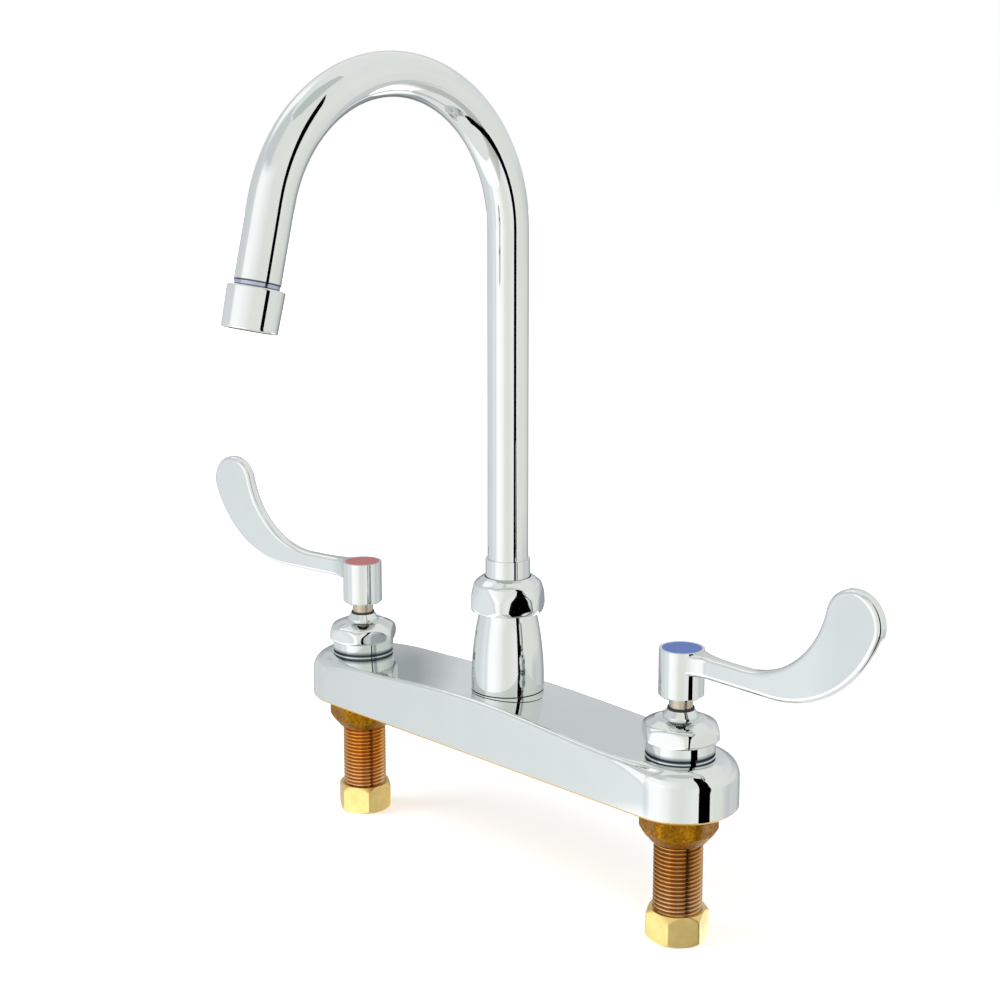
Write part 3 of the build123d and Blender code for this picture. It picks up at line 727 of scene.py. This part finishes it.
class FAUCET_OT_spout_nut(bpy.types.Operator):
    """Model the spout nut: flats that melt into a bell-shaped shoulder"""

    bl_idname = "faucet.spout_nut"
    bl_label = "Spout nut"

    def execute(self, context):
        nuts = context.scene.faucet_nuts
        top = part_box("spout_nut")[1].z
        nut = ring_piece("spout_nut_dressed", outline_points(SPOUT_OUTLINE, top))
        press_flats(nut, nuts.spout_flats, nuts.spout_hardness)
        stand_at(nut, 0.0, SPOUT_TURN)
        dress(nut, "spout_nut")
        return {"FINISHED"}


GRAIN_SIZE = 1.1 * MM
GRAIN_RELIEF = 0.22 * MM
# The cast skin is left off the face against the body and off the hole
SMOOTH_DROP, SMOOTH_RADIUS = 0.3 * MM, 10.9 * MM


def roughen(nut):
    """Give a lock nut the uneven skin of sand casting."""
    grain = bpy.data.textures.new("sand_casting", "CLOUDS")
    grain.noise_scale = GRAIN_SIZE
    grain.noise_depth = 3
    outside = nut.vertex_groups.new(name="outside")
    outside.add([vertex.index for vertex in nut.data.vertices
                 if vertex.co.z < -SMOOTH_DROP and vertex.co.xy.length > SMOOTH_RADIUS],
                1.0, "REPLACE")
    skin = nut.modifiers.new("cast_skin", "DISPLACE")
    skin.texture = grain
    skin.strength = GRAIN_RELIEF
    skin.vertex_group = "outside"
    bpy.ops.object.modifier_apply(modifier=skin.name)


class FAUCET_OT_lock_nuts(bpy.types.Operator):
    """Model the cast lock nuts with their rough skin and long cone"""

    bl_idname = "faucet.lock_nuts"
    bl_label = "Lock nuts"

    def execute(self, context):
        nuts = context.scene.faucet_nuts
        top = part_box("cold_lock_nut")[1].z
        nut = ring_piece("lock_nut_model", outline_points(LOCK_OUTLINE, top))
        press_flats(nut, nuts.lock_flats, nuts.lock_hardness)
        roughen(nut)
        pair_up(nut, "lock_nut", LOCK_TURNS)
        return {"FINISHED"}


class FAUCET_OT_coupling_nuts(bpy.types.Operator):
    """Model the machined coupling nuts with arcs where the flats meet the chamfers"""

    bl_idname = "faucet.coupling_nuts"
    bl_label = "Coupling nuts"

    def execute(self, context):
        nuts = context.scene.faucet_nuts
        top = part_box("cold_coupling_nut")[1].z
        outline = outline_points(COUPLING_OUTLINE, top)
        nut = ring_piece("coupling_nut_model", outline, around=180)
        press_flats(nut, nuts.coupling_flats, nuts.coupling_hardness)
        pair_up(nut, "coupling_nut", COUPLING_TURNS)
        return {"FINISHED"}


# The shank in millimetres: its bore, its low end, and the height where the thread runs out
SHANK_BORE, BORE_CHAMFER = 6.4, 0.3
END_RADIUS, END_CHAMFER = 9.6, 0.9
THREAD_END = -1.6
# How finely the thread is divided along one pitch and around one turn
STEPS_A_PITCH, STEPS_AROUND = 16, 72
# How much of a pitch the groove takes up at its mouth, and how much its two walls take up
GROOVE_MOUTH, GROOVE_WALLS = 0.78, 0.70
SHANK_TURNS = {"hot": 200.0, "cold": 0.0}


def groove(share):
    """Depth of a thread's groove along one pitch, from 0 on the crest to 1 at the root."""
    return min(1.0, max(0.0, (GROOVE_MOUTH - abs(2 * share - 1)) / GROOVE_WALLS))


def shank_outline(pitch):
    """The shank's closed outline of (radius, height), with short steps along the thread."""
    low, high, crest = SHANK_LOW.z / MM, SHANK_HIGH.z / MM, SHANK_RADIUS / MM
    start = low + END_CHAMFER
    steps = round((THREAD_END - start) / pitch * STEPS_A_PITCH)
    thread = [(crest, start + (THREAD_END - start) * k / steps) for k in range(steps + 1)]
    return [(SHANK_BORE, high), (SHANK_BORE, low + BORE_CHAMFER),
            (SHANK_BORE + BORE_CHAMFER, low), (END_RADIUS, low), *thread, (crest, high)]


def wrap_shank(mesh, outline, pitch, depth):
    """Wrap a square grid round the shank's outline, and press a helix into its outer wall."""
    count, crest = len(outline), outline[-1][0]
    for vertex in mesh.vertices:
        radius, z = outline[round((vertex.co.x + 1) / 2 * count) % count]
        turn = round((vertex.co.y + 1) / 2 * STEPS_AROUND) % STEPS_AROUND / STEPS_AROUND
        if radius == crest:
            run_out = min(1.0, max(0.0, (THREAD_END - z) / pitch))
            radius -= depth * run_out * groove((z / pitch - turn) % 1.0)
        angle = turn * math.tau
        vertex.co = Vector((radius * math.cos(angle), radius * math.sin(angle), z)) * MM


class FAUCET_OT_shanks(bpy.types.Operator):
    """Model the shanks, with a thread that is a real right-hand helix"""

    bl_idname = "faucet.shanks"
    bl_label = "Threaded shanks"

    def execute(self, context):
        nuts = context.scene.faucet_nuts
        pitch = nuts.thread_pitch / MM
        outline = shank_outline(pitch)
        bpy.ops.object.select_all(action="DESELECT")
        bpy.ops.mesh.primitive_grid_add(
            x_subdivisions=len(outline), y_subdivisions=STEPS_AROUND, size=2,
            location=(0, 0, 0))
        shank = context.object
        shank.name = "shank_model"
        wrap_shank(shank.data, outline, pitch, nuts.thread_depth / MM)
        bpy.ops.object.mode_set(mode="EDIT")
        close_and_smooth(merge_distance=0.001 * MM, crease_angle=35)
        pair_up(shank, "shank", SHANK_TURNS)
        return {"FINISHED"}


# The light tent: brightness that reflections see, as (bearing in degrees, level, tint)
NEUTRAL, WARM, COOL, SLATE = (1, 1, 1), (1, 1, 0.955), (0.975, 1, 1.02), (0.94, 1, 1.03)
TENT_FOOT = [
    (-180, 0.45, SLATE), (-150, 0.9, COOL), (-110, 1.3, NEUTRAL), (-80, 2.0, NEUTRAL),
    (-30, 2.0, NEUTRAL), (-8, 0.8, WARM), (30, 0.60, WARM), (95, 0.68, WARM),
    (118, 2.0, NEUTRAL), (150, 2.0, NEUTRAL), (168, 0.5, SLATE), (180, 0.45, SLATE)]
TENT_LOW = [
    (-180, 0.24, SLATE), (-171, 0.30, SLATE), (-161, 0.46, COOL), (-151, 0.66, COOL),
    (-142, 0.84, COOL), (-120, 0.88, COOL), (-106, 0.90, COOL), (-99, 0.93, COOL),
    (-89, 1.01, COOL), (-83, 1.06, COOL), (-79.5, 1.09, COOL), (-78.8, 0.99, COOL),
    (-72, 1.0, COOL), (-64, 1.34, NEUTRAL), (-47, 1.36, NEUTRAL), (-36, 1.29, NEUTRAL),
    (-27, 1.20, NEUTRAL), (-16, 1.04, WARM), (0, 0.98, WARM), (22, 1.08, NEUTRAL),
    (48, 1.05, NEUTRAL), (60, 0.97, WARM), (88, 0.97, WARM), (106, 0.93, WARM),
    (122, 0.88, WARM), (138, 0.66, COOL), (150, 0.48, SLATE), (166, 0.34, SLATE),
    (180, 0.24, SLATE)]
TENT_BASE = [entry for entry in TENT_LOW if entry[0] < 70] + [
    (76, 0.94, WARM), (88, 0.79, COOL), (95, 0.73, COOL), (104, 0.80, COOL), (128, 0.74, COOL),
    (142, 0.50, SLATE), (166, 0.32, SLATE), (180, 0.24, SLATE)]
TENT_MIDDLE = [
    (-180, 0.82, COOL), (-177, 0.78, COOL), (-174.5, 0.44, SLATE), (-171, 0.42, SLATE),
    (-156, 0.56, SLATE), (-125, 0.84, COOL), (-95, 1.0, COOL), (-76, 1.08, NEUTRAL),
    (-66, 1.42, NEUTRAL), (-38, 1.42, NEUTRAL), (-18, 1.12, NEUTRAL), (0, 1.0, WARM),
    (60, 1.02, WARM), (95, 0.95, WARM), (125, 0.78, COOL), (152, 0.60, SLATE),
    (180, 0.82, COOL)]
TENT_HIGH = [
    (-180, 0.72, COOL), (-150, 0.74, COOL), (-118, 0.80, COOL), (-100, 0.84, COOL),
    (-80.5, 0.90, COOL), (-73, 1.3, NEUTRAL), (-50, 1.3, NEUTRAL), (-35, 1.2, NEUTRAL),
    (-17, 1.10, NEUTRAL), (0, 1.0, WARM), (80, 1.0, WARM), (130, 0.92, COOL),
    (180, 0.72, COOL)]
TENT_TOP = [
    (-180, 1.0, WARM), (-150, 1.0, WARM), (-128, 1.32, NEUTRAL), (-114, 1.32, NEUTRAL),
    (-100, 0.80, COOL), (-50, 0.78, COOL), (-34, 0.98, WARM), (180, 1.0, WARM)]
TENT_BRIGHTEST = 2.0
# The tables above the foot, each with the two heights between which it takes over
TENT_RISES = (
    (-0.49, -0.45, TENT_BASE), (-0.20, -0.13, TENT_LOW), (0.12, 0.22, TENT_MIDDLE),
    (0.27, 0.40, TENT_HIGH), (0.84, 1.02, TENT_TOP))
TENT_CENTRE_Z, TENT_HEIGHT = 0.5, 3.4
# The black strip's corners as (bearing, height), and the ceiling's as (bearing, distance)
STRIP_DISTANCE = 0.49
STRIP_CORNERS = [
    (31.5, -0.9), (50.0, -0.9), (50.0, -0.02), (46.5, 0.08), (46.5, 0.55), (39.0, 0.86),
    (31.5, 0.55)]
STRIP_BLACK = (0.0, 0.0, 0.0, 1.0)
CEILING_Z = 2.0
CEILING_CORNERS = [
    (-64, 0.95), (-30, 1.04), (0, 1.04), (30, 1.04), (64, 0.90), (64, 0.36), (-64, 0.36)]
CEILING_GREY = (0.66, 0.71, 0.67, 1.0)
# The soft lamps: (name, place, size, power in watts), all aimed at one point
LAMPS = (
    ("key_lamp", (-0.9, -1.0, 1.3), 0.9, 14.0),
    ("fill_lamp", (1.2, -0.5, 0.9), 1.0, 7.0))
LAMP_TARGET = Vector((0, 0, 0.08))
# The white world's plain level of light on the faucet
ROOM_LIGHT = 0.5
FLOOR_RADIUS = 6.0
FLOOR_WHITE = (0.93, 0.93, 0.93, 1.0)
# The floor's own glow rises from one level to the other between two distances
FLOOR_NEAR, FLOOR_FAR = 0.40, 1.3
NEAR_GLOW, FAR_GLOW = 0.42, 1.1
SENSOR_WIDTH = 36.0


def bearing(angle, distance, z):
    """A point around the spout's axis, at an angle to the right of the camera's side."""
    turn = bpy.context.scene.faucet_studio.camera_yaw + math.radians(angle)
    return Vector((math.sin(turn) * distance, -math.cos(turn) * distance, z))


def glowing(made, color, strength):
    """Make a finish shine evenly in place of reflecting, and return its material."""
    made.surface(made.add("ShaderNodeEmission", {}, {"Color": color, "Strength": strength}))
    return made.material


def show_in_reflections_only(piece):
    """Show a piece of the studio in reflections only."""
    piece.visible_camera = False
    piece.visible_diffuse = False
    piece.visible_shadow = False


def reflection_card(name, corners, color):
    """A flat card of one colour that only reflections see."""
    mesh = bpy.data.meshes.new(name)
    mesh.from_pydata(corners, [], [range(len(corners))])
    card = bpy.data.objects.new(name, mesh)
    bpy.context.collection.objects.link(card)
    mesh.materials.append(glowing(Finish(name), color, 1.0))
    show_in_reflections_only(card)


def tent_level(made, share, table):
    """One of the tent's tables as a colour that changes with the share of a turn."""
    return made.add("ShaderNodeValToRGB", {"stops": [
        (angle / 360 + 0.5, [part * bright / TENT_BRIGHTEST for part in tint])
        for angle, bright, tint in table]}, {0: share})


def light_tent(studio):
    """An upright round wall that only reflections see, graded as studio cards and cloth are."""
    bpy.ops.mesh.primitive_cylinder_add(
        vertices=128, radius=studio.tent_radius, depth=TENT_HEIGHT, end_fill_type="NOTHING",
        location=(0, 0, TENT_CENTRE_Z))
    tent = bpy.context.object
    tent.name = "light_tent"
    bpy.ops.object.transform_apply(location=True, rotation=False, scale=False)
    made = Finish("light_tent_cloth")
    x, y, z = made.axes()
    turn = made.add("ShaderNodeMath", {"operation": "ARCTAN2"}, {0: x, 1: y * -1.0})
    # The share of a turn, never negative, with the camera's side in the middle at a half
    share = made.add("ShaderNodeMath", {"operation": "FRACT"}, {
        0: (turn - studio.camera_yaw) * (1 / math.tau) + 1.5})
    color = tent_level(made, share, TENT_FOOT)
    for low, high, table in TENT_RISES:
        color = made.mix(made.ramp(z, low, high), color, tent_level(made, share, table))
    tent.data.materials.append(glowing(made, color, TENT_BRIGHTEST))
    show_in_reflections_only(tent)


def white_world():
    """A world that is white to look at and gives a plain level of light."""
    world = bpy.data.worlds.new("studio_world")
    bpy.context.scene.world = world
    world.use_nodes = True
    made = Nodes(world.node_tree)
    back = world.node_tree.nodes["Background"]
    made.feed(back.inputs["Color"], (1.0, 1.0, 1.0, 1.0))
    made.feed(back.inputs["Strength"], made.ramp(
        made.seen_directly(), low=0.0, high=1.0, start=ROOM_LIGHT, end=1.0))


def pale_floor():
    """White floor that keeps the faucet's shadow and is plain white further out."""
    made = Finish("pale_floor")
    made.set(Base_Color=FLOOR_WHITE, Roughness=0.9)
    x, y, _ = made.axes()
    from_middle = (x * x + y * y).sqrt()
    level = made.ramp(from_middle, FLOOR_NEAR, FLOOR_FAR, start=NEAR_GLOW, end=FAR_GLOW)
    glow = made.add("ShaderNodeEmission", {}, {"Strength": level * made.seen_directly()})
    made.surface(made.add("ShaderNodeAddShader", {}, {
        0: Socket(made, made.shader.outputs["BSDF"]), 1: glow}))
    return made.material


def studio_floor():
    """A round floor under the faucet, which its reflections don't see."""
    bpy.ops.mesh.primitive_circle_add(
        vertices=96, radius=FLOOR_RADIUS, fill_type="NGON", location=(0, 0, CAD_BOX[0].z))
    floor = bpy.context.object
    floor.name = "studio_floor"
    floor.data.materials.append(pale_floor())
    floor.visible_glossy = False


def lamp(name, place, size, power):
    """A square soft lamp that looks at the middle of the faucet."""
    bpy.ops.object.light_add(type="AREA", location=place)
    light = bpy.context.object
    light.name = name
    light.data.size = size
    light.data.energy = power
    light.visible_glossy = False
    light.rotation_euler = (LAMP_TARGET - Vector(place)).to_track_quat("-Z", "Y").to_euler()


def photo_camera(studio):
    """The camera at the photograph's viewing angle."""
    data = bpy.data.cameras.new("photo_camera")
    data.lens = studio.camera_lens
    data.sensor_width = SENSOR_WIDTH
    data.shift_y = studio.camera_shift
    camera = bpy.data.objects.new("photo_camera", data)
    camera.location = studio.camera_place
    camera.rotation_euler = (math.pi / 2 - studio.camera_pitch, 0.0, studio.camera_yaw)
    bpy.context.collection.objects.link(camera)
    bpy.context.scene.camera = camera


class FAUCET_OT_stage(bpy.types.Operator):
    """Build the floor, the lamps, the light tent, the reflection cards and the camera"""

    bl_idname = "faucet.stage"
    bl_label = "Build the studio"

    def execute(self, context):
        studio = context.scene.faucet_studio
        white_world()
        studio_floor()
        for name, place, size, power in LAMPS:
            lamp(name, place, size, power)
        light_tent(studio)
        reflection_card("black_strip", [
            bearing(angle, STRIP_DISTANCE, z) for angle, z in STRIP_CORNERS], STRIP_BLACK)
        reflection_card("grey_ceiling", [
            bearing(angle, away, CEILING_Z) for angle, away in CEILING_CORNERS], CEILING_GREY)
        photo_camera(studio)
        context.scene.view_settings.view_transform = "Standard"
        return {"FINISHED"}


class FAUCET_PT_panel(bpy.types.Panel):
    """Faucet tools in the sidebar."""

    bl_idname = "FAUCET_PT_panel"
    bl_label = "Faucet"
    bl_space_type = "VIEW_3D"
    bl_region_type = "UI"
    bl_category = "Faucet"

    def draw(self, context):
        layout = self.layout
        scene = context.scene
        for group in (scene.faucet_finish, scene.faucet_nuts, scene.faucet_studio):
            for name in group.__annotations__:
                layout.prop(group, name)
        for operator in OPERATORS:
            layout.operator(operator.bl_idname)


OPERATORS = (
    FAUCET_OT_finishes, FAUCET_OT_bonnet_nuts, FAUCET_OT_spout_nut, FAUCET_OT_lock_nuts,
    FAUCET_OT_coupling_nuts, FAUCET_OT_shanks, FAUCET_OT_stage)
CLASSES = (FinishSettings, NutSettings, StudioSettings, *OPERATORS, FAUCET_PT_panel)


def register():
    """Register the classes and put their settings on the scene."""
    for entry in CLASSES:
        bpy.utils.register_class(entry)
    bpy.types.Scene.faucet_finish = PointerProperty(type=FinishSettings)
    bpy.types.Scene.faucet_nuts = PointerProperty(type=NutSettings)
    bpy.types.Scene.faucet_studio = PointerProperty(type=StudioSettings)


def unregister():
    """Take the settings and the classes away again."""
    del bpy.types.Scene.faucet_studio
    del bpy.types.Scene.faucet_nuts
    del bpy.types.Scene.faucet_finish
    for entry in reversed(CLASSES):
        bpy.utils.unregister_class(entry)


def main():
    """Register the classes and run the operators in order."""
    register()
    bpy.ops.faucet.finishes()
    bpy.ops.faucet.bonnet_nuts()
    bpy.ops.faucet.spout_nut()
    bpy.ops.faucet.lock_nuts()
    bpy.ops.faucet.coupling_nuts()
    bpy.ops.faucet.shanks()
    bpy.ops.faucet.stage()


if __name__ == "__main__":
    main()
